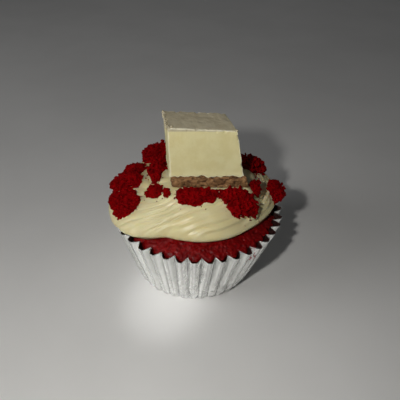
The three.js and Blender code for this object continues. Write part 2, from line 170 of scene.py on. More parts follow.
def own_place(tree):
    """The place on the piece itself, in metres."""
    return add_node(tree, "TexCoord").outputs["Object"]


def own_height(tree):
    """The height on the piece above the table, in metres."""
    return add_node(tree, "SeparateXYZ", {0: own_place(tree)}).outputs["Z"]


def mix_colours(tree, share, first, second):
    """first where share is 0, second where it is 1."""
    mixed = add_node(tree, "Mix", {0: share, 6: first, 7: second}, data_type="RGBA")
    return mixed.outputs[2]


def threshold(tree, value, low, high):
    """0 below low, 1 above high, and a soft step between them."""
    inputs = {"Value": value, "From Min": low, "From Max": high}
    step = add_node(tree, "MapRange", inputs, interpolation_type="SMOOTHSTEP")
    return step.outputs["Result"]


def scaled(tree, value, low, high):
    """A value from 0 to 1 stretched to run from low to high."""
    inputs = {"Value": value, "To Min": low, "To Max": high}
    return add_node(tree, "MapRange", inputs).outputs["Result"]


def noise_value(tree, size, detail=3.0, roughness=0.5, offset=(0, 0, 0), stretch=(1, 1, 1)):
    """Noise from 0 to 1 whose patches are about size metres wide."""
    inputs = {"Vector": own_place(tree), "Location": offset, "Scale": stretch}
    moved = add_node(tree, "Mapping", inputs).outputs[0]
    inputs = {"Vector": moved, "Scale": 1.0 / size, "Detail": detail, "Roughness": roughness}
    return add_node(tree, "TexNoise", inputs).outputs["Fac"]


def patches(tree, size, low, high, **noise_kind):
    """1 in soft-edged patches, where the noise is above high, and 0 where it is below low."""
    return threshold(tree, noise_value(tree, size, **noise_kind), low, high)


def wander(tree, size, low, high, **noise_kind):
    """A value that wanders from low to high over the surface."""
    return scaled(tree, noise_value(tree, size, **noise_kind), low, high)


def bump(tree, height, distance, strength=1.0, below=None):
    """Turns a height into a normal; distance is the height of a full step in metres."""
    inputs = {"Height": height, "Distance": distance, "Strength": strength}
    if below is not None:
        inputs["Normal"] = below
    return add_node(tree, "Bump", inputs).outputs["Normal"]


def start_material(name, **constants):
    """A new material with its constant shader inputs set on the shader itself."""
    material = bpy.data.materials.new(name)
    material.use_nodes = True
    shader = material.node_tree.nodes["Principled BSDF"]
    for socket, value in constants.items():
        shader.inputs[socket.replace("_", " ")].default_value = value
    return material, material.node_tree


def finish_material(material, **values):
    """Links what changes over the surface to the shader, and gives the material back."""
    tree = material.node_tree
    shader = tree.nodes["Principled BSDF"]
    for socket, value in values.items():
        tree.links.new(value, shader.inputs[socket.replace("_", " ")])
    return material


print("node helpers ready")

# %% [markdown]
# ## A shared crumb texture
#
# Sponge, loose crumb and biscuit are all broken crumb: rounded grains with pores between
# them, and paler or darker patches over several grains. The pores get a darker colour,
# which is painted shade in the holes. The three share one node group. It puts out a
# colour and a height, and each material gives its own colours and grain size.

# %% Crumb texture group
BEND_SCALE = 900.0
BEND = 0.0006
PATCH_SIZE = 0.0032
FINE_SHARE = 0.35


def make_crumb_group():
    group = bpy.data.node_groups.new("crumb texture", "ShaderNodeTree")
    sockets = [
        ("Grain Scale", "INPUT", "NodeSocketFloat"),
        ("Pore Shade Color", "INPUT", "NodeSocketColor"),
        ("Grain Color", "INPUT", "NodeSocketColor"),
        ("Patch Color", "INPUT", "NodeSocketColor"),
        ("Color", "OUTPUT", "NodeSocketColor"),
        ("Height", "OUTPUT", "NodeSocketFloat"),
    ]
    for name, side, kind in sockets:
        group.interface.new_socket(name, in_out=side, socket_type=kind)
    given = group.nodes.new("NodeGroupInput").outputs
    place = own_place(group)
    bend = add_node(group, "TexNoise", {"Vector": place, "Scale": BEND_SCALE})
    inputs = {0: bend.outputs["Color"], 1: (BEND, BEND, BEND), 2: place}
    bent = add_node(group, "VectorMath", inputs, operation="MULTIPLY_ADD").outputs[0]
    inputs = {"Vector": bent, "Scale": given["Grain Scale"]}
    cells = add_node(group, "TexVoronoi", inputs, feature="SMOOTH_F1")
    # The pores are painted darker, as shade in the holes between the grains.
    pore = threshold(group, cells.outputs["Distance"], 0.35, 0.75)
    patch = patches(group, PATCH_SIZE, 0.42, 0.62)
    fine = noise_value(group, 0.0003, roughness=0.6)
    grain = mix_colours(group, patch, given["Grain Color"], given["Patch Color"])
    rise = add_node(group, "Math", {0: 1.0, 1: pore}, operation="SUBTRACT").outputs[0]
    inputs = {0: fine, 1: FINE_SHARE, 2: rise}
    height = add_node(group, "Math", inputs, operation="MULTIPLY_ADD").outputs[0]
    put_out = group.nodes.new("NodeGroupOutput").inputs
    group.links.new(mix_colours(group, pore, grain, given["Pore Shade Color"]), put_out["Color"])
    group.links.new(height, put_out["Height"])
    return group


crumb_group = make_crumb_group()
print("crumb texture inputs:", [item.name for item in crumb_group.interface.items_tree])


def crumb_texture(tree, grain_size, pore, grain, patch):
    """Places the shared crumb texture in a material."""
    # pore is the colour of the painted shade in the pores.
    scale = 1.0 / grain_size
    inputs = {"Grain Scale": scale, "Pore Shade Color": pore, "Grain Color": grain, "Patch Color": patch}
    return add_node(tree, "Group", inputs, node_tree=crumb_group).outputs


# %% [markdown]
# ## Small helpers for shapes
#
# Most pieces here are round, so they start as a profile that is spun once round the
# upright axis. The vertices are then moved by a formula. Shapes are worked out in
# millimetres, and the finishing helper turns them into metres. Broken and crumbly
# surfaces come from solid noise, so they look alike from every side. A spun shape can
# come out inside out, so the finishing helper turns one whose volume is below zero.

# %% Shape helpers
TAU = 2.0 * math.pi
MM = 0.001


def smoothstep(low, high, value):
    share = np.clip((value - low) / (high - low), 0.0, 1.0)
    return share * share * (3.0 - 2.0 * share)


def band(start, full, fade, end, value):
    """0 up to start, 1 from full to fade, and 0 again from end on."""
    return smoothstep(start, full, value) * (1.0 - smoothstep(fade, end, value))


def lumps(points, width, seed, octaves=1):
    """A random height from about -1 to 1 at each point, in lumps of the given width."""
    shift = Vector((seed * 13.7, seed * 7.3, seed * 3.1))
    return np.array([noise.fractal(Vector(p) / width + shift, 1.0, 2.0, octaves) for p in points])


def points_of(bm):
    return np.array([vert.co[:] for vert in bm.verts])


def move_points(bm, points):
    for vert, point in zip(bm.verts, points):
        vert.co = point


def spin_profile(profile, steps):
    """Spins a profile of (radius, height) points once round the upright axis."""
    bm = bmesh.new()
    verts = [bm.verts.new((radius, 0.0, height)) for radius, height in profile]
    edges = [bm.edges.new(pair) for pair in zip(verts, verts[1:])]
    bmesh.ops.spin(
        bm, geom=verts + edges, cent=(0, 0, 0), axis=(0, 0, 1), dvec=(0, 0, 0),
        angle=TAU, steps=steps, use_merge=True, use_duplicate=False,
    )
    bmesh.ops.remove_doubles(bm, verts=bm.verts, dist=1e-5)
    return bm


def finish_piece(bm, name, material, node):
    """Turns a bmesh in millimetres into a piece in metres, which may stand for a node."""
    bmesh.ops.remove_doubles(bm, verts=bm.verts, dist=1e-4)
    bmesh.ops.recalc_face_normals(bm, faces=bm.faces)
    if bm.calc_volume(signed=True) < 0.0:
        bmesh.ops.reverse_faces(bm, faces=bm.faces)
    bmesh.ops.scale(bm, vec=(MM, MM, MM), verts=bm.verts)
    mesh = bpy.data.meshes.new(name)
    bm.to_mesh(mesh)
    bm.free()
    mesh.shade_smooth()
    mesh.materials.append(material)
    piece = add_object(name, mesh)
    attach(piece, "root")
    if node:
        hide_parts(node)
    triangles = sum(len(face.vertices) - 2 for face in mesh.polygons)
    print(name, "has", triangles, "triangles")
    return piece


def store_values(bm, name, values):
    """Keeps one number for each vertex, which a material can read as an attribute."""
    layer = bm.verts.layers.float.new(name)
    for vert, value in zip(bm.verts, values):
        vert[layer] = value


def seeded(seed):
    """The stream of random numbers that the construction draws its pleats from."""
    mask = 0xFFFFFFFF
    state = seed
    while True:
        state = (state + 0x6D2B79F5) & mask
        value = state
        value = ((value ^ (value >> 15)) * (value | 1)) & mask
        value ^= (value + (((value ^ (value >> 7)) * (value | 61)) & mask)) & mask
        yield (value ^ (value >> 14)) / 4294967296


# %% [markdown]
# ## The foil case
#
# The case is one disc of thin aluminium foil pressed in a pleating tool: a flat floor, a
# sharp heel and a flared wall in 40 pleats. Seen from outside each pleat is a broad
# rounded fold, and the folds meet in narrow creases. It could be drawn pleat by pleat,
# but a spun cup whose vertices move in and out by one wave keeps all pleats joined. The
# pleats have the same uneven places and depths as in the construction. Handling has left
# small dents, most of them near the heel.

# %% Case sizes
BASE_RADIUS = 25.0
RIM_RADIUS = 33.35
RIM_HALF_PLEAT = 1.65
HEEL_HALF_PLEAT = 0.3
RIM_HEIGHT = 29.8
RIM_TILT = 1.5
RIM_SHIFT = 1.2
PLEATS = 40
PLEAT_START = 224.0
STEPS_PER_PLEAT = 16
CASE_STEPS = PLEATS * STEPS_PER_PLEAT
FOIL_THICKNESS = 0.12
PLEAT_SEED = 7

pleat_draws = seeded(PLEAT_SEED)
pleat_shift, pleat_depth = np.array([
    ((next(pleat_draws) - 0.5) * 2.0, 0.85 + 0.3 * next(pleat_draws)) for _ in range(PLEATS)
]).T
print("pleat depths run from", round(pleat_depth.min(), 2), "to", round(pleat_depth.max(), 2))


def rim_height(angle):
    return RIM_HEIGHT - RIM_TILT * np.cos(angle)


def wall_radius(share):
    """Radius of the wall's middle, a share of the way up."""
    return BASE_RADIUS - HEEL_HALF_PLEAT + (RIM_RADIUS - BASE_RADIUS + HEEL_HALF_PLEAT) * share


# %% Press the pleats
FLAT_SHARE = 0.2
# How much painted shade each step of a pleat gets, most in the crease itself.
CREASE_SHADE_LINES = np.array([0, 0, 0.4, 0, 0, 0, 0, 0.2, 1, 0.2, 0, 0, 0, 0, 0.4, 0])
WALL_ROWS = 42
REFLECTION_STRIPE_SEED = 19


def steps_round(points):
    """Which of the spin's steps each point belongs to."""
    turn = np.arctan2(points[:, 1], points[:, 0]) % TAU
    return np.round(turn / TAU * CASE_STEPS).astype(int) % CASE_STEPS


def pleat_at(step, up):
    """Heading, in-and-out wave (1 on the outer fold, -1 in a crease) and depth of a pleat."""
    pleat = step // STEPS_PER_PLEAT
    within = (step % STEPS_PER_PLEAT) / STEPS_PER_PLEAT
    following = (pleat + 1) % PLEATS
    shift = (1.0 - within) * pleat_shift[pleat] + within * pleat_shift[following]
    depth = (1.0 - within) * pleat_depth[pleat] + within * pleat_depth[following]
    heading = np.radians(PLEAT_START + 360.0 / PLEATS * (pleat + within) + up * shift)
    to_crease = 1.0 - np.abs(2.0 * within - 1.0)
    wave = 1.0 - 2.0 * np.clip((to_crease - FLAT_SHARE) / (1.0 - FLAT_SHARE), 0.0, 1.0) ** 1.45
    return heading, wave, depth


def half_pleat(up):
    return HEEL_HALF_PLEAT + (RIM_HALF_PLEAT - HEEL_HALF_PLEAT) * up ** 0.8


def press_pleats(points):
    """Moves the points of a plain spun cup to the pleated, dented case."""
    radius = np.hypot(points[:, 0], points[:, 1])
    up = np.clip(points[:, 2] / RIM_HEIGHT, 0.0, 1.0)
    heading, wave, depth = pleat_at(steps_round(points), up)
    on_wall = smoothstep(21.0, 24.3, radius)
    height = up * rim_height(heading)
    along = np.column_stack((radius * np.cos(heading), radius * np.sin(heading), height))
    flat = along * np.array([1.0, 1.0, 0.6])
    upright = along * np.array([1.0, 1.0, 0.12])
    dent = 0.19 * lumps(flat, 1.7, 3, 2) + 0.10 * lumps(flat, 0.8, 4)
    dent *= 0.15 + 1.25 * (1.0 - up) ** 1.4
    dent += 0.07 * lumps(upright, 0.75, 6)
    radius = radius + on_wall * (half_pleat(up) * depth * wave + dent)
    height = height + 0.18 * up ** 8 * lumps(flat, 1.7, 5)
    x = RIM_SHIFT * up + radius * np.cos(heading)
    y = radius * np.sin(heading)
    return np.column_stack((x, y, height))


def reflection_stripe_tones():
    """A grey of painted reflection for each step round the case, in runs of one to three steps."""
    draw = random.Random(REFLECTION_STRIPE_SEED)
    tones = []
    while len(tones) < CASE_STEPS:
        tones += [draw.random()] * draw.choice((1, 1, 2, 2, 3))
    return np.array(tones[:CASE_STEPS])


def make_case(material, inside):
    profile = [(radius, 0.0) for radius in (0.0, 8.0, 15.0, 20.0, 22.5, 24.0)]
    profile += [(24.3, 0.06), (24.68, 0.28)]
    for row in range(WALL_ROWS + 1):
        share = 0.02 + 0.98 * row / WALL_ROWS
        profile.append((wall_radius(share), RIM_HEIGHT * share))
    bm = spin_profile(profile, CASE_STEPS)
    start = points_of(bm)
    step = steps_round(start)
    on_wall = smoothstep(22.0, 24.5, np.hypot(start[:, 0], start[:, 1]))
    move_points(bm, press_pleats(start))
    # Numbers for the painted crease shade and the painted reflection stripes.
    store_values(bm, "painted_crease_shade", on_wall * CREASE_SHADE_LINES[step % STEPS_PER_PLEAT])
    store_values(bm, "reflection_stripe", on_wall * reflection_stripe_tones()[step])
    bmesh.ops.translate(bm, vec=(0.0, 0.0, 0.01), verts=bm.verts)
    piece = finish_piece(bm, "case_of_foil", material, "foil_case")
    piece.data.materials.append(inside)
    wall = piece.modifiers.new("foil thickness", "SOLIDIFY")
    wall.thickness = FOIL_THICKNESS * MM
    wall.offset = -1.0
    wall.material_offset = 1
    return piece


# %% [markdown]
# The foil is bare aluminium. It mirrors the table and the sponge, but the rollers of the
# foil mill and many small dents blur the picture, and grease dulls it here and there.
# Its grey stripes are painted reflection: flanks lighter and darker, as the pleats would
# mirror brighter and darker parts of the table. Its dark fold lines are painted shade in the
# creases. Both come from the numbers that each vertex keeps. At the right a little red
# crumb has been smeared on a few pleats.

# %% Foil finish
SMEAR_PLACE = (0.0222, -0.0245, 0.0248)
SMEAR_REACH = 0.0048
CRINKLE_SCALE = 460.0


def near_place(tree, centre, reach):
    """1 at a place on the piece, fading to 0 at the given distance from it."""
    inputs = {0: own_place(tree), 1: centre}
    gap = add_node(tree, "VectorMath", inputs, operation="DISTANCE")
    inputs = {"Value": gap.outputs["Value"], "From Min": reach, "From Max": 0.0}
    return add_node(tree, "MapRange", inputs).outputs["Result"]


def multiply(tree, first, second):
    return add_node(tree, "Math", {0: first, 1: second}, operation="MULTIPLY").outputs[0]


def stored(tree, name):
    """The number that each vertex of the piece keeps under a name."""
    return add_node(tree, "Attribute", attribute_name=name).outputs["Fac"]


def make_foil_material():
    material, tree = start_material("aluminium foil")
    # Stripes of painted reflection, lighter and darker from flank to flank.
    reflection_stripe = threshold(tree, stored(tree, "reflection_stripe"), 0.15, 0.85)
    metal = mix_colours(tree, reflection_stripe, tone(254, 255, 253), tone(230, 231, 228))
    grease = patches(tree, 0.006, 0.45, 0.7)
    metal = mix_colours(tree, multiply(tree, grease, 0.3), metal, tone(210, 211, 207))
    # Painted shade along the creases, broken up by noise.
    broken = wander(tree, 0.003, 0.3, 1.0)
    line = multiply(tree, stored(tree, "painted_crease_shade"), broken)
    metal = mix_colours(tree, line, metal, tone(50, 50, 49))
    streaks = patches(tree, 0.0009, 0.5, 0.6, detail=4.0, roughness=0.7, stretch=(1, 1, 0.35))
    smear = multiply(tree, near_place(tree, SMEAR_PLACE, SMEAR_REACH), streaks)
    smear = threshold(tree, smear, 0.05, 0.25)
    low_down = scaled(tree, threshold(tree, own_height(tree), 0.003, 0.017), 1.0, 0.25)
    inputs = {"Vector": own_place(tree), "Scale": (1.0, 1.0, 0.45)}
    longer = add_node(tree, "Mapping", inputs).outputs[0]
    inputs = {"Vector": longer, "Scale": CRINKLE_SCALE}
    crinkles = add_node(tree, "TexVoronoi", inputs)
    facets = multiply(tree, crinkles.outputs["Distance"], low_down)
    creases = noise_value(tree, 0.0022, roughness=0.55, stretch=(1, 1, 0.5))
    return finish_material(
        material,
        Base_Color=mix_colours(tree, smear, metal, tone(142, 24, 46)),
        Metallic=scaled(tree, smear, 0.7, 0.2),
        Roughness=wander(tree, 0.0022, 0.17, 0.3, detail=4.0, roughness=0.6),
        Normal=bump(tree, creases, 0.00012, 0.5, below=bump(tree, facets, 0.0009, 0.7)),
    )


# %% [markdown]
# Inside, the foil is stained by moist crumb and fat where the sponge has shrunk away from
# it. Its dark colour is also painted shade and a painted reflection of the dark sponge, so
# it looks nearly black between the tips of the pleats. The wall's inner side has this
# darker finish of its own, which the Solidify modifier puts there.

# %% Stained and shaded inside of the case
def make_stained_shaded_foil_material():
    material, tree = start_material("stained and shaded foil inside", Metallic=0.35)
    # Partly stain, partly painted shade and a painted reflection of the dark sponge.
    stain_and_shade = patches(tree, 0.0016, 0.35, 0.62, detail=4.0, roughness=0.6)
    return finish_material(
        material,
        Base_Color=mix_colours(tree, stain_and_shade, tone(70, 44, 42), tone(38, 6, 8)),
        Roughness=scaled(tree, stain_and_shade, 0.42, 0.6),
        Normal=bump(tree, noise_value(tree, 0.0008), 0.00005, 0.5),
    )


make_case(make_foil_material(), make_stained_shaded_foil_material())

# %% [markdown]
# ## The sponge
#
# The cake has risen a little above the case in a shallow dome, and only its border shows
# between the icing and the foil. It is open crumb: pores of half a millimetre to two
# millimetres between torn walls. A bump map alone would leave a smooth edge against the
# foil, so the border gets fine rows and is roughened by real displacement.

# %% Sponge shape
SPONGE_EDGE_DROP = 0.8
SPONGE_DOME = 7.0
SPONGE_REACH = 31.0
SPONGE_FLOOR = 0.6
SPONGE_TILT_REACH = 33.0
SPONGE_CLEARANCE = 0.75
SPONGE_FLUTE = 0.5
SPONGE_EDGE_ROLL = 1.0
BORDER_ROWS = 34
BORDER_INNER = 21.0


def sponge_height(x, y):
    across = np.minimum(1.05, np.hypot(x - RIM_SHIFT, y) / SPONGE_REACH)
    edge = RIM_HEIGHT - SPONGE_EDGE_DROP - RIM_TILT * (x - RIM_SHIFT) / SPONGE_TILT_REACH
    return edge + SPONGE_DOME * (1.0 - across * across)


def sponge_wall_radius(share):
    return wall_radius(share) - 1.15 * half_pleat(share) - SPONGE_CLEARANCE


def make_sponge(material):
    profile = [(0.0, 0.0), (14.0, 0.0), (22.5, 0.0), (23.4, 0.0)]
    for share in (0.04, 0.2, 0.4, 0.6, 0.76, 0.86, 0.92, 0.955):
        profile.append((sponge_wall_radius(share), share))
    border_outer = sponge_wall_radius(0.97)
    for row in range(BORDER_ROWS + 1):
        profile.append((border_outer + (BORDER_INNER - border_outer) * row / BORDER_ROWS, 1.0))
    profile += [(16.0, 1.0), (8.0, 1.0), (0.0, 1.0)]
    bm = spin_profile(profile, CASE_STEPS)
    points = points_of(bm)
    share = points[:, 2]
    radius = np.hypot(points[:, 0], points[:, 1])
    angle, wave, depth = pleat_at(steps_round(points), share)
    near_wall = smoothstep(21.0, border_outer, radius)
    roll = SPONGE_EDGE_ROLL * smoothstep(border_outer - 1.0, border_outer, radius)
    radius = radius + near_wall * SPONGE_FLUTE * half_pleat(share) * depth * (wave + 1.0)
    x = RIM_SHIFT * share + radius * np.cos(angle)
    y = radius * np.sin(angle)
    top = share > 0.99
    side_level = SPONGE_FLOOR + share * (rim_height(angle) - SPONGE_FLOOR)
    level = np.where(top, sponge_height(x, y) - roll, side_level)
    shape = np.column_stack((x, y, level))
    rough = 0.30 * lumps(shape, 3.2, 11, 2) + 0.24 * lumps(shape, 1.1, 12, 2)
    rough += 0.16 * lumps(shape, 0.55, 13)
    pits = np.clip(lumps(shape, 1.5, 14) - 0.28, 0.0, 1.0)
    inwards = np.where(share > 0.5, rough - 1.1 * pits, 0.3 * rough)
    shape[:, 2] += np.where(top, inwards - 0.1, 0.0)
    side = np.where(top, 0.0, 0.6 * np.minimum(inwards, 0.25))
    shape[:, 0] += side * np.cos(angle)
    shape[:, 1] += side * np.sin(angle)
    move_points(bm, shape)
    return finish_piece(bm, "cake_sponge", material, "sponge")


# %% [markdown]
# The crumb is deep red, with painted shade that makes it nearly black in the pores, and a
# little moist, so torn walls glint where the lamp meets them. Its pale pink patches are
# partly paler crumb and partly a painted highlight.

# %% Sponge finish
def make_sponge_material():
    material, tree = start_material("moist red sponge", Specular_IOR_Level=0.2)
    crumb = crumb_texture(tree, 0.0009, tone(94, 1, 3), tone(128, 5, 8), tone(108, 2, 5))
    # Pale pink patches: partly paler crumb, partly a painted highlight.
    pink = patches(tree, 0.0015, 0.6, 0.72, roughness=0.6, offset=(0.3, 0.1, 0.2))
    pink = multiply(tree, pink, 0.35)
    wet = patches(tree, 0.0026, 0.4, 0.6, detail=2.0)
    return finish_material(
        material,
        Base_Color=mix_colours(tree, pink, crumb["Color"], tone(160, 60, 52)),
        Roughness=scaled(tree, wet, 0.62, 0.3),
        Normal=bump(tree, crumb["Height"], 0.00009, 0.6),
    )


make_sponge(make_sponge_material())

# %% [markdown]
# ## The icing
#
# One wide strand of soft icing was piped from the back round the left and over itself at
# the front. The nozzle's teeth drew ridges along it: about twelve broad ones from the
# edge to the middle, and finer ones on them. They wind inwards slowly at the right and
# steeply at the left front. Piping a curve with a star section would leave gaps that the
# real strand has not, because its turns have flowed together. So the icing is a spun
# mound whose points are moved to the drawn-in outline, and the ridges are pressed into
# it along the surface's own normals.

# %% Icing outline and mound
ICING_MIDDLE = (2.0, 1.0)
ICING_RADIUS = 35.2
FRONT_INSET = 7.6
SIDE_INSET = 1.2
LIP_LEVEL = 32.2
TOP_LEVEL = 45.5
DOME_POWER = 2.5
LIP_ROLL = 2.1
CROWN_SHIFT = (3.5, -4.0)
RIM_OVERHANG = 1.6
RIM_SAG = 1.3
SEAT_LEVEL = 45.75
SEAT_REACH = 7.5
SEAT_LEFT, SEAT_RIGHT = -8.0, 19.5
SEAT_FRONT, SEAT_BACK = -10.0, 2.0


def signed_degrees(angle):
    return (np.degrees(angle) + 180.0) % 360.0 - 180.0


def over_rim(angle):
    """1 at the left, where the icing sags over the rim of the case, and 0 elsewhere."""
    degrees = signed_degrees(angle)
    towards_front = 1.0 - smoothstep(-160.0, -128.0, degrees)
    towards_back = smoothstep(90.0, 150.0, degrees)
    return np.where(degrees < 0.0, towards_front, towards_back)


def icing_radius(angle):
    degrees = signed_degrees(angle)
    inset = band(-140.0, -112.0, -50.0, 30.0, degrees)
    side = np.maximum(0.0, np.cos(angle - math.radians(40.0))) ** 2
    return ICING_RADIUS - FRONT_INSET * inset - SIDE_INSET * side + RIM_OVERHANG * over_rim(angle)


def lip_level(angle):
    level = LIP_LEVEL - 0.5 * np.cos(angle) + 0.7 * np.maximum(0.0, -np.sin(angle))
    return level - RIM_SAG * over_rim(angle)


def icing_plan(angle, across):
    """The plan point that lies a share of the way from the crown to the outline."""
    radius = icing_radius(angle) * across
    x = ICING_MIDDLE[0] + (1.0 - across) * CROWN_SHIFT[0] + radius * np.cos(angle)
    y = ICING_MIDDLE[1] + (1.0 - across) * CROWN_SHIFT[1] + radius * np.sin(angle)
    return x, y


def seat_share(x, y):
    """How much of the seat pushed up round the foot of the slice is left at a point."""
    out_x = np.maximum(np.maximum(SEAT_LEFT - x, x - SEAT_RIGHT), 0.0)
    out_y = np.maximum(np.maximum(SEAT_FRONT - y, y - SEAT_BACK), 0.0)
    return 1.0 - smoothstep(0.0, SEAT_REACH, np.hypot(out_x, out_y))


def mound_level(angle, across, x, y):
    roll = LIP_ROLL + 0.5 * RIM_SAG * over_rim(angle)
    foot = lip_level(angle) + roll
    dome = foot + (TOP_LEVEL - foot) * (1.0 - across ** DOME_POWER)
    past = np.clip((across - 0.9) / 0.1, 0.0, 1.0)
    rolled = dome - roll * (1.0 - np.sqrt(1.0 - past * past))
    return rolled + (SEAT_LEVEL - rolled) * seat_share(x, y)


print("icing reaches", icing_radius(math.pi), "mm to the left")
print("and", icing_radius(-math.pi / 2), "mm to the front")

# %% Winding of the ridges
WINDING_HEADINGS = [-180, -150, -135, -120, -105, -92, -80, -60, -40, -20, 0, 20, 45, 135, 180]
WINDING_RATES = [
    0.0040, 0.0100, 0.0130, 0.0098, 0.0080, 0.0055, 0.0025, 0.0012,
    0.0015, 0.0035, 0.0042, 0.0025, 0.0020, 0.0020, 0.0040,
]
winding_steps = np.interp(np.arange(360) - 179.5, WINDING_HEADINGS, WINDING_RATES)
winding_table = np.concatenate(([0.0], np.cumsum(winding_steps)))
WINDING_TURN = winding_table[-1]
print("a ridge comes", round(WINDING_TURN, 3), "of the way inwards in one turn")


def heading_of(x, y):
    """Heading of a point from the icing's middle, -180 to 180 degrees."""
    return np.degrees(np.arctan2(y - ICING_MIDDLE[1], x - ICING_MIDDLE[0]))


def wound(x, y):
    """How far a ridge has come inwards by the heading of a point."""
    turned = (heading_of(x, y) + 180.0) % 360.0
    return np.interp(turned, np.arange(361), winding_table)


# %% [markdown]
# Five creases are deeper than the ridges. Two lie just inside the outline at the right
# front, where the last turn was laid beside the first, and two more between the outline
# and the crown. One at the right back is the edge of the strand's end. Each is a line
# given by a few headings and by how far across it lies there.

# %% Creases and ridges
CREASES = [
    {"headings": (-66.0, -32.0, 2.0), "across": (0.975, 0.978, 0.972), "deep": 0.6, "wide": 0.5},
    {"headings": (-92.0, -45.0, 4.0), "across": (0.965, 0.925, 0.84), "deep": 0.7, "wide": 0.6},
    {"headings": (-6.0, 30.0, 62.0), "across": (0.69, 0.75, 0.80), "deep": 0.7, "wide": 0.8},
    {"headings": (-52.0, -8.0, 34.0), "across": (0.935, 0.915, 0.89), "deep": 0.55, "wide": 0.5},
    {"headings": (-46.0, -4.0, 40.0), "across": (0.88, 0.85, 0.82), "deep": 0.55, "wide": 0.55},
]
CREASE_END = 14.0
BROAD_RIDGES, BROAD_DEPTH = 12, 0.70
FINE_RIDGES, FINE_DEPTH = 31, 0.32
THREAD_RIDGES, THREAD_DEPTH = 62, 0.11
SWELL = 0.22


def crease_depth(x, y, angle, across):
    heading = heading_of(x, y)
    total = np.zeros_like(x)
    for crease in CREASES:
        first, last = crease["headings"][0], crease["headings"][-1]
        line = np.interp(heading, crease["headings"], crease["across"])
        away = (across - line) * icing_radius(angle)
        ends = band(first, first + CREASE_END, last - CREASE_END, last, heading)
        total += ends * crease["deep"] * np.exp(-((away / crease["wide"]) ** 2))
    return total


def groove(turns, ridges, drift):
    """1 in a groove between two ridges, 0 on top of a ridge."""
    return 1.0 - np.abs(np.sin(math.pi * (turns * ridges + drift)))


def ridge_depth(x, y, level, angle, across):
    """How far the surface lies below the smooth mound, in millimetres."""
    points = np.column_stack((x, y, level))
    degrees = np.degrees(angle)
    drift = 0.16 * lumps(points, 9.0, 21)
    turns = (across + wound(x, y)) / WINDING_TURN
    broad = groove(turns, BROAD_RIDGES, drift)
    fine = groove(turns, FINE_RIDGES, 2.0 * drift)
    thread = groove(turns, THREAD_RIDGES, 3.0 * drift)
    strength = np.clip(0.7 + 0.9 * lumps(points, 8.0, 22), 0.25, 1.25)
    right_side = band(-75.0, -30.0, 60.0, 100.0, degrees)
    fine_strength = np.clip(0.5 + 0.5 * right_side + 1.0 * lumps(points, 6.0, 23), 0.1, 1.3)
    depth = BROAD_DEPTH * strength * broad ** 1.5 + FINE_DEPTH * fine_strength * fine
    depth += THREAD_DEPTH * fine_strength * thread
    depth -= SWELL * lumps(points, 7.0, 24)
    left_front = band(-165.0, -145.0, -105.0, -85.0, degrees)
    lip_fade = 1.0 - smoothstep(0.93, 1.0, across) * (1.0 - 0.75 * left_front)
    crown_fade = smoothstep(0.2, 0.4, across)
    ridges = depth * lip_fade * crown_fade
    return (ridges + crease_depth(x, y, angle, across)) * (1.0 - seat_share(x, y))


# %% [markdown]
# The underside rests on the sponge, and at the left and the back on the rim of the case.
# At the front its rolled lip tucks down to the sponge. The points are told apart by the
# height that the profile gave them: 1 above, 0 at the lip and -1 below.

# %% Icing shape
ICING_STEPS = 640
TOP_ROWS = 96
UNDER_ROWS = (0.995, 0.98, 0.965, 0.945, 0.92, 0.88, 0.8, 0.6, 0.35, 0.0)
REST_GAP = 0.1
SLOPE_STEP = 0.004


def rest_level(x, y):
    """Height of what carries the icing: the sponge, and further out the rim."""
    angle = np.arctan2(y, x - RIM_SHIFT)
    reach = np.hypot(x - RIM_SHIFT, y)
    on_sponge = sponge_height(x, y) + REST_GAP
    on_rim = rim_height(angle) + REST_GAP + 0.2
    blend = smoothstep(28.5, 31.0, reach)
    return on_sponge * (1.0 - blend) + np.maximum(on_sponge, on_rim) * blend


def shape_top(angle, across):
    x, y = icing_plan(angle, across)
    level = mound_level(angle, across, x, y)
    return np.stack((x, y, level), axis=-1)


def surface_normals(angle, across):
    """Normals of the smooth mound, from its slopes round it and towards the crown."""
    inner = np.clip(across - SLOPE_STEP, SLOPE_STEP, 1.0)
    outer = np.clip(across + SLOPE_STEP, SLOPE_STEP, 1.0)
    along = shape_top(angle, outer) - shape_top(angle, inner)
    around = shape_top(angle + SLOPE_STEP, across) - shape_top(angle - SLOPE_STEP, across)
    normal = np.cross(along, around)
    length = np.linalg.norm(normal, axis=-1, keepdims=True)
    return normal / np.maximum(length, 1e-9)


def make_icing(material):
    profile = [(row / TOP_ROWS, 1.0) for row in range(TOP_ROWS)]
    profile.append((1.0, 0.0))
    profile += [(across, -1.0) for across in UNDER_ROWS]
    bm = spin_profile(profile, ICING_STEPS)
    start = points_of(bm)
    across = np.clip(np.hypot(start[:, 0], start[:, 1]), 1e-4, 1.0)
    angle = np.arctan2(start[:, 1], start[:, 0])
    smooth = shape_top(angle, across)
    x, y, level = smooth.T
    depth = ridge_depth(x, y, level, angle, across)
    top = smooth - depth[:, None] * surface_normals(angle, across)
    carried = rest_level(x, y)
    edge_level = lip_level(angle)
    tuck = smoothstep(0.93, 1.0, across)
    tucked = np.maximum(carried, carried + (edge_level - 0.2 - carried) * tuck)
    outside = smoothstep(34.9, 35.6, np.hypot(x - RIM_SHIFT, y))
    below_level = tucked * (1.0 - outside) + (edge_level - 0.2) * outside
    scallop = depth * smoothstep(0.9, 1.0, across)
    drawn_x = x - scallop * np.cos(angle)
    drawn_y = y - scallop * np.sin(angle)
    at_lip = np.abs(start[:, 2]) < 0.5
    below_level = np.where(at_lip, edge_level + 0.35, below_level)
    below = np.column_stack((drawn_x, drawn_y, below_level))
    move_points(bm, np.where(start[:, 2:] > 0.5, top, below))
    surface = BVHTree.FromBMesh(bm)
    return finish_piece(bm, "piped_icing", material, "icing"), surface


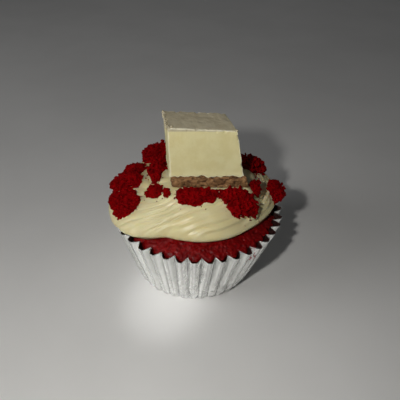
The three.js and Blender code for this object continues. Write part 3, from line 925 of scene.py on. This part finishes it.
# %% [markdown]
# Cream cheese icing is ivory, dense and a little see-through at thin ridges. It is
# smooth, so its highlights run along the ridges, and slightly dull where it has begun to
# dry.

# %% Icing finish
def make_icing_material():
    material, tree = start_material(
        "ivory icing", Specular_IOR_Level=0.5, Subsurface_Weight=0.45,
        Subsurface_Scale=0.0018, Subsurface_Radius=(1.0, 0.8, 0.5),
    )
    deeper = patches(tree, 0.009, 0.35, 0.65)
    waves = bump(tree, noise_value(tree, 0.0018), 0.00012, 0.5)
    grain = noise_value(tree, 0.00035, roughness=0.6)
    return finish_material(
        material,
        Base_Color=mix_colours(tree, deeper, tone(231, 221, 176), tone(225, 213, 163)),
        Roughness=wander(tree, 0.0045, 0.22, 0.48, detail=4.0, roughness=0.6),
        Normal=bump(tree, grain, 0.000025, 0.5, below=waves),
    )


icing, icing_surface = make_icing(make_icing_material())

# %% [markdown]
# ## The slice of cheesecake
#
# The slice is a block cut from a tray bake with a wet knife: 27 mm wide, 13.5 mm deep and
# 19 mm tall above its base. Its faces are nearly flat, its edges crisp, and it has lost
# small nicks at the top corners. A bevelled cube would be too regular, so a finely
# divided cube is fitted between the four corners of the foot and of the top. Points near
# an edge are drawn onto a small round, and nicks, pits and knife marks follow.

# %% A hand-cut block
SLICE_FRONT = -11.0
SLICE_BACK = 2.5
EDGE_CROWDING = 1.15


def corners_at(level, lean, front_left, front_right, back_right, back_left):
    """Four corners of a block at one height; the left side is higher by twice the lean."""
    return np.array([
        [[front_left, SLICE_FRONT, level + lean], [front_right, SLICE_FRONT, level - lean]],
        [[back_left, SLICE_BACK, level + lean], [back_right, SLICE_BACK, level - lean]],
    ])


def start_block(foot, top, cuts, round_radius):
    """A divided cube between two outlines. Also gives each point's place in the cube."""
    bm = bmesh.new()
    bmesh.ops.create_cube(bm, size=2.0)
    bmesh.ops.subdivide_edges(bm, edges=bm.edges, cuts=cuts, use_grid_fill=True)
    place = points_of(bm)
    place = np.sign(place) * (1.0 - (1.0 - np.abs(place)) ** EDGE_CROWDING)
    width = (foot[:, 1] - foot[:, 0]).mean(axis=0)[0]
    tall = top[..., 2].mean() - foot[..., 2].mean()
    half = np.array([width, SLICE_BACK - SLICE_FRONT, tall]) / 2.0
    flat = place * half
    core = np.clip(flat, round_radius - half, half - round_radius)
    out = flat - core
    reach = np.linalg.norm(out, axis=1, keepdims=True)
    rounded = core + out * np.minimum(1.0, round_radius / np.maximum(reach, 1e-9))
    outward = out / np.maximum(reach, 1e-9)
    share = (rounded / half + 1.0) / 2.0
    u, v, w = share[:, 0:1], share[:, 1:2], share[:, 2:3]

    def level_point(corner):
        front = corner[0, 0] * (1.0 - u) + corner[0, 1] * u
        back = corner[1, 0] * (1.0 - u) + corner[1, 1] * u
        return front * (1.0 - v) + back * v

    shape = level_point(foot) * (1.0 - w) + level_point(top) * w
    return bm, shape, outward, flat, half


def edge_nearness(flat, half, reach):
    """1 on an edge of the block, 0 further from it than reach."""
    close = np.clip(1.0 - (half - np.abs(flat)) / reach, 0.0, 1.0)
    return np.sort(close, axis=1)[:, 1]


print("the slice is", SLICE_BACK - SLICE_FRONT, "mm deep")

# %% Cheesecake shape
JOIN_LEVEL = 51.6
SLICE_TOP = 70.7
SLICE_LEAN = 0.6
PIT_COUNT = 9
PIT_SEED = 41


def make_cheesecake(material):
    foot = corners_at(JOIN_LEVEL + 0.1, 0.0, -8.5, 18.6, 16.2, -10.6)
    top = corners_at(SLICE_TOP, SLICE_LEAN, -8.9, 15.7, 11.8, -11.2)
    bm, shape, outward, flat, half = start_block(foot, top, 70, 0.35)
    edge = edge_nearness(flat, half, 1.1)
    upper = smoothstep(0.2, 0.9, flat[:, 2] / half[2])
    nick = np.clip(lumps(shape, 1.5, 31) - 0.16, 0.0, 1.0) * 2.2
    chips = np.clip(lumps(shape, 0.7, 32) - 0.2, 0.0, 1.0) * 0.8
    inwards = edge * (0.35 + 0.65 * upper) * (nick + chips)
    left = smoothstep(0.97, 1.0, -flat[:, 0] / half[0])
    top_face = smoothstep(0.97, 1.0, flat[:, 2] / half[2])
    front = smoothstep(0.97, 1.0, -flat[:, 1] / half[1])
    drag = 0.04 * lumps(shape * np.array([1.0, 1.0, 0.18]), 0.9, 33)
    inwards += 0.10 * lumps(shape, 6.0, 34) + drag * (1.0 - top_face)
    inwards += left * (0.16 * lumps(shape, 0.8, 35, 2) + 0.05)
    inwards += top_face * (0.12 * lumps(shape, 3.0, 36, 2) + 0.05 * lumps(shape, 0.7, 37))
    draw = random.Random(PIT_SEED)
    for _ in range(PIT_COUNT):
        spot = np.array([draw.uniform(-8.0, 16.0), SLICE_FRONT, draw.uniform(54.0, 69.5)])
        wide = draw.uniform(0.25, 0.6)
        away = np.linalg.norm(shape - spot, axis=1)
        inwards += front * draw.uniform(0.05, 0.14) * np.exp(-((away / wide) ** 2))
    shape = shape - inwards[:, None] * outward
    foot_share = 1.0 - smoothstep(0.0, 2.0, shape[:, 2] - JOIN_LEVEL)
    sag = 0.40 + 0.95 * lumps(shape * np.array([1.0, 1.0, 0.0]), 1.9, 38, 2)
    shape[:, 2] -= foot_share * np.clip(sag, 0.0, 1.2)
    shape -= foot_share[:, None] * outward * np.array([-0.42, -0.42, 0.0])
    move_points(bm, shape)
    store_values(bm, "edge", edge_nearness(flat, half, 0.9))
    return finish_piece(bm, "cheesecake_slice", material, "cheesecake")


# %% [markdown]
# Baked cream cheese is pale yellow and close, with a few burst bubbles. The cut faces
# have a faint sheen from the knife. The top has dried to a greyer, duller skin.

# %% Cheesecake finish
BUBBLE_SCALE = 1100.0


def make_cheesecake_material():
    material, tree = start_material(
        "baked cream cheese", Specular_IOR_Level=0.4, Subsurface_Weight=0.2,
        Subsurface_Scale=0.001, Subsurface_Radius=(1.0, 0.8, 0.5),
    )
    cloud = patches(tree, 0.005, 0.35, 0.65, detail=4.0)
    cut = mix_colours(tree, cloud, tone(222, 213, 164), tone(216, 205, 152))
    mottled = patches(tree, 0.0028, 0.3, 0.7, detail=4.0, roughness=0.6)
    dried = mix_colours(tree, mottled, tone(192, 182, 155), tone(180, 168, 139))
    on_top = threshold(tree, own_height(tree), 0.0697, 0.0702)
    colour = mix_colours(tree, on_top, cut, dried)
    # The colour is paler along the block's edges.
    paler_edge = threshold(tree, stored(tree, "edge"), 0.25, 0.8)
    paler_edge = multiply(tree, paler_edge, wander(tree, 0.0016, 0.35, 1.0))
    inputs = {"Vector": own_place(tree), "Scale": BUBBLE_SCALE}
    bubbles = add_node(tree, "TexVoronoi", inputs, feature="SMOOTH_F1")
    closed = threshold(tree, bubbles.outputs["Distance"], 0.1, 0.4)
    fine = noise_value(tree, 0.0012)
    return finish_material(
        material,
        Base_Color=mix_colours(tree, paler_edge, colour, tone(233, 228, 203)),
        Roughness=wander(tree, 0.002, 0.38, 0.6),
        Normal=bump(tree, fine, 0.00005, 0.4, below=bump(tree, closed, 0.00003, 0.35)),
    )


cheesecake = make_cheesecake(make_cheesecake_material())

# %% [markdown]
# ## The biscuit base
#
# Under the cream lies a pressed layer of crushed biscuit and butter, six millimetres
# thick. Its cut face is a conglomerate: lumps of one to three millimetres with finer
# crumb between them. The same block is used, with rounder edges and three sizes of
# lumps pressed out of it.

# %% Biscuit shape
BASE_FOOT = 45.8


def make_biscuit(material):
    foot = corners_at(BASE_FOOT, 0.0, -7.9, 21.3, 17.6, -9.6)
    top = corners_at(JOIN_LEVEL + 0.1, 0.0, -8.7, 19.6, 16.2, -10.8)
    bm, shape, outward, flat, half = start_block(foot, top, 76, 0.7)
    lump = 0.42 * lumps(shape, 2.3, 51) + 0.30 * lumps(shape, 1.0, 52)
    lump += 0.20 * lumps(shape, 0.5, 53)
    cracks = np.clip(lumps(shape, 1.7, 54) - 0.3, 0.0, 1.0)
    inwards = 0.25 - lump + 1.3 * cracks
    inwards *= 1.0 - 0.6 * np.abs(outward[:, 2])
    move_points(bm, shape - inwards[:, None] * outward)
    return finish_piece(bm, "biscuit_crust", material, "biscuit_base")


# %% Biscuit finish
def make_biscuit_material():
    material, tree = start_material("pressed biscuit", Specular_IOR_Level=0.3)
    crumb = crumb_texture(tree, 0.0010, tone(78, 50, 28), tone(156, 116, 76), tone(118, 84, 52))
    flecks = patches(tree, 0.0012, 0.6, 0.7, roughness=0.6, offset=(0.2, 0.4, 0.1))
    flecks = multiply(tree, flecks, 0.6)
    return finish_material(
        material,
        Base_Color=mix_colours(tree, flecks, crumb["Color"], tone(190, 156, 108)),
        Roughness=wander(tree, 0.001, 0.6, 0.85),
        Normal=bump(tree, crumb["Height"], 0.0003, 0.8),
    )


make_biscuit(make_biscuit_material())

# %% [markdown]
# ## The clumps of crumb
#
# Sponge rubbed between the fingers breaks into clumps, and each clump is a heap of
# rounded grains stuck together, ragged all round. Displacing a smooth lump gives a
# pebble. Here a copy of the clump's construction form is drawn in by about a millimetre,
# and grains are strewn all over the form, deeper or prouder from place to place, with
# more of them on the icing round its foot. A voxel remesh melts core and grains into one
# skin, so the clump keeps its place and form and gets a ragged outline.

# %% Where the clumps lie
CLUMPS = sorted(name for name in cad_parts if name.startswith("crumb_"))
SLICE_FOOT = [(-9.0, -11.3), (21.6, -11.3), (18.2, 2.9), (-11.2, 2.9)]


def in_slice_foot(x, y):
    """Whether a plan point lies under the slice."""
    for (ax, ay), (bx, by) in zip(SLICE_FOOT, SLICE_FOOT[1:] + SLICE_FOOT[:1]):
        if (bx - ax) * (y - ay) - (by - ay) * (x - ax) < 0.0:
            return False
    return True


def on_icing(x, y):
    """The point and normal of the icing below a plan point, or nothing beside it."""
    point, normal, _, _ = icing_surface.ray_cast(Vector((x, y, 90.0)), Vector((0.0, 0.0, -1.0)))
    if point is None:
        return None, None
    return point, (normal if normal.z > 0.0 else -normal)


# %% Heap up the grains
GRAIN_SIZES = (0.26, 0.68)
GRAINS_PER_SQUARE_MM = 3.0
CORE_DEPTH = 0.9
CORE_SHARE = 0.18
NOTCH = 1.9
NOTCH_WIDTH = 1.15
BED_REACH = 2.4
VOXEL = 0.19
CLUMP_SEED = 200


def copy_of_node(name):
    """The closed form of a construction node, copied and measured in millimetres."""
    bm = bmesh.new()
    bm.from_mesh(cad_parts[name].data)
    bmesh.ops.scale(bm, vec=(1.0 / MM, 1.0 / MM, 1.0 / MM), verts=bm.verts)
    bmesh.ops.remove_doubles(bm, verts=bm.verts, dist=1e-3)
    bm.normal_update()
    return bm


def one_grain():
    """Corners and faces of one small round grain of radius 1."""
    bm = bmesh.new()
    bmesh.ops.create_icosphere(bm, subdivisions=1, radius=1.0)
    corners = points_of(bm)
    faces = np.array([[vert.index for vert in face.verts] for face in bm.faces])
    bm.free()
    return corners, faces


GRAIN_CORNERS, GRAIN_FACES = one_grain()


def strew(grains, draw):
    """One mesh of many squashed copies of the grain; thousands of operator calls are slow."""
    centres = np.array([centre[:] for centre, _ in grains])
    radii = np.array([radius for _, radius in grains])
    squash = np.array([[draw.uniform(0.75, 1.2) for _ in range(3)] for _ in grains])
    corners = centres[:, None] + GRAIN_CORNERS[None] * (radii[:, None] * squash)[:, None]
    first = np.arange(len(grains)) * len(GRAIN_CORNERS)
    faces = first[:, None, None] + GRAIN_FACES[None]
    mesh = bpy.data.meshes.new("grains")
    mesh.from_pydata(corners.reshape(-1, 3).tolist(), [], faces.reshape(-1, 3).tolist())
    return mesh


def draw_grains(core, draw):
    """Centres and radii of grains strewn over the form, and on the icing below its edge."""
    grains = []
    for face in list(core.faces):
        corners = [vert.co.copy() for vert in face.verts]
        wanted = face.calc_area() * GRAINS_PER_SQUARE_MM
        for _ in range(int(wanted + draw.random())):
            first, second = sorted((draw.random(), draw.random()))
            spot = first * corners[0] + (second - first) * corners[1] + (1.0 - second) * corners[2]
            radius = draw.uniform(*GRAIN_SIZES)
            notch = NOTCH * noise.noise(spot / NOTCH_WIDTH) + 0.25 * radius
            grains.append((spot - face.normal * notch, radius))
            if notch < 0.0:
                grains.append((spot - face.normal * 0.3, radius))
            below, normal = on_icing(spot.x, spot.y)
            if below is not None and spot.z - below.z < BED_REACH:
                grains.append((below + normal * (0.3 * radius), radius))
    return grains


def melt(bm):
    """Melts the overlapping forms of a bmesh into one skin, softened a little."""
    heap = bpy.data.meshes.new("heap")
    bm.to_mesh(heap)
    bm.free()
    holder = add_object("heap", heap)
    remesh = holder.modifiers.new("melt", "REMESH")
    remesh.mode = "VOXEL"
    remesh.voxel_size = VOXEL
    depsgraph = bpy.context.evaluated_depsgraph_get()
    skin = bpy.data.meshes.new_from_object(holder.evaluated_get(depsgraph))
    bpy.data.objects.remove(holder)
    bm = bmesh.new()
    bm.from_mesh(skin)
    bmesh.ops.smooth_vert(
        bm, verts=bm.verts, factor=0.5, use_axis_x=True, use_axis_y=True, use_axis_z=True,
    )
    bm.normal_update()
    return bm


def make_clump(name, seed, material):
    draw = random.Random(seed)
    bm = copy_of_node(name)
    grains = draw_grains(bm, draw)
    low, high = (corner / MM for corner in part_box(name))
    core_depth = min(CORE_DEPTH, CORE_SHARE * min(high - low))
    inwards = [vert.normal * -core_depth for vert in bm.verts]
    for vert, step in zip(bm.verts, inwards):
        vert.co += step
    strewn = strew(grains, draw)
    bm.from_mesh(strewn)
    bpy.data.meshes.remove(strewn)
    bm = melt(bm)
    points = points_of(bm)
    normals = np.array([vert.normal[:] for vert in bm.verts])
    rough = 0.10 * lumps(points, 0.8, seed) + 0.05 * lumps(points, 0.4, seed + 1)
    move_points(bm, points + rough[:, None] * normals)
    return finish_piece(bm, name.replace("crumb", "clump"), material, name)


# %% [markdown]
# The crumb is the same red sponge, drier and more matt because it has been in the air,
# and brighter because light reaches between its grains.

# %% Crumb finish
def make_crumb_material():
    material, tree = start_material(
        "rubbed red crumb", Specular_IOR_Level=0.04, Subsurface_Weight=0.2,
        Subsurface_Scale=0.0006, Subsurface_Radius=(1.0, 0.15, 0.1),
    )
    crumb = crumb_texture(tree, 0.0007, tone(106, 0, 3), tone(136, 0, 4), tone(110, 0, 3))
    return finish_material(
        material,
        Base_Color=crumb["Color"],
        Roughness=wander(tree, 0.0012, 0.75, 0.95, detail=2.0),
        Normal=bump(tree, crumb["Height"], 0.00007, 0.5),
    )


crumb_material = make_crumb_material()
for number, clump_name in enumerate(CLUMPS):
    make_clump(clump_name, CLUMP_SEED + 10 * number, crumb_material)

# %% [markdown]
# ## Loose crumbs
#
# Around the clumps, and thickly between the two in front of the slice, lie single crumbs
# about a millimetre wide or less. One mesh holds them all. Each is a small sphere with
# its points pushed about, half sunk in the icing.

# %% Scatter the loose crumbs
LOOSE_AROUND_CLUMP = 9
CRUMBS_AT_SLICE_FOOT = 75
LOOSE_SEED = 77
STRIP_LEFT, STRIP_RIGHT = 7.4, 12.4
STRIP_BACK, STRIP_DEPTH = -11.8, 2.9
LOOSE_SPOTS = [
    (-17.3, 5.6), (-17.0, 3.4), (-17.2, 1.7), (-18.7, 3.6), (-18.0, 0.0), (-19.2, 1.3),
    (-14.6, 8.9), (-6.9, -14.6), (24.6, 4.2), (24.9, 3.0), (26.9, 7.4), (26.6, 4.4),
]


def add_ball(bm, place, size, fineness, push):
    """A small ball at a place, each of its points pushed in or out by a factor."""
    made = bmesh.ops.create_icosphere(bm, subdivisions=fineness, radius=size)["verts"]
    for vert in made:
        vert.co *= push(vert.co)
    bmesh.ops.translate(bm, vec=place, verts=made)


def make_loose_crumbs(material):
    draw = random.Random(LOOSE_SEED)
    spots = [(x, y, draw.uniform(0.25, 0.45)) for x, y in LOOSE_SPOTS]
    for name in CLUMPS:
        low, high = (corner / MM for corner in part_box(name))
        middle = (low + high) / 2.0
        for _ in range(LOOSE_AROUND_CLUMP):
            heading = draw.uniform(0.0, TAU)
            beyond = 0.2 + 1.6 * draw.random() ** 2
            x = middle.x + ((high.x - low.x) / 2.0 + beyond) * math.cos(heading)
            y = middle.y + ((high.y - low.y) / 2.0 + beyond) * math.sin(heading)
            spots.append((x, y, draw.uniform(0.1, 0.26)))
    for _ in range(CRUMBS_AT_SLICE_FOOT):
        x = draw.uniform(STRIP_LEFT, STRIP_RIGHT)
        y = STRIP_BACK - STRIP_DEPTH * draw.random()
        spots.append((x, y, draw.uniform(0.3, 0.7)))
    bm = bmesh.new()
    placed = 0
    for x, y, size in spots:
        point, normal = on_icing(x, y)
        if point is None or in_slice_foot(x, y):
            continue
        lifted = point + normal * (0.4 * size)
        add_ball(bm, lifted, size, 1, lambda co: draw.uniform(0.7, 1.25))
        placed += 1
    print(placed, "loose crumbs")
    return finish_piece(bm, "loose_crumbs", material, None)


make_loose_crumbs(crumb_material)

# %% [markdown]
# The knife left a few pale bits of the cream along the slice's upper left edge and at its
# front right corner. They are made the same way and lie on the slice's top.

# %% Bits of cream on the slice
CREAM_BITS = 26
BITS_SEED = 91
BITS_START = (-8.8, -10.8)
BITS_RUN = (-2.2, 12.6)
BITS_LEVEL = 71.2
CREAM_SPOTS = [(-7.4, -9.6, 71.1), (15.3, -10.7, 70.1), (14.9, -10.9, 70.1)]


def make_cream_bits(material):
    draw = random.Random(BITS_SEED)
    spots = list(CREAM_SPOTS)
    for _ in range(CREAM_BITS):
        along = draw.random() ** 1.3
        aside = 0.7 * draw.random() - 0.35
        x = BITS_START[0] + BITS_RUN[0] * along + aside
        spots.append((x, BITS_START[1] + BITS_RUN[1] * along, BITS_LEVEL))
    bm = bmesh.new()
    for spot in spots:
        size = draw.uniform(0.22, 0.55)
        shift = Vector(spot)
        add_ball(bm, spot, size, 2, lambda co: 1.0 + 0.45 * noise.noise(co * 6.0 + shift))
    return finish_piece(bm, "cream_bits", material, None)


make_cream_bits(cheesecake.data.materials[0])

# %% [markdown]
# ## The table
#
# The cupcake stands on a plain pale table. It only carries the shadow and the light that
# the foil throws on it, so it isn't part of the object.

# %% Table
TABLE_HALF = 1.5


def make_table():
    bm = bmesh.new()
    bmesh.ops.create_grid(bm, x_segments=1, y_segments=1, size=TABLE_HALF)
    mesh = bpy.data.meshes.new("table")
    bm.to_mesh(mesh)
    bm.free()
    material, tree = start_material("pale table", Roughness=0.55)
    faint = patches(tree, 0.06, 0.3, 0.7)
    colour = mix_colours(tree, faint, tone(231, 230, 228), tone(226, 225, 223))
    mesh.materials.append(finish_material(material, Base_Color=colour))
    add_object("table", mesh)


make_table()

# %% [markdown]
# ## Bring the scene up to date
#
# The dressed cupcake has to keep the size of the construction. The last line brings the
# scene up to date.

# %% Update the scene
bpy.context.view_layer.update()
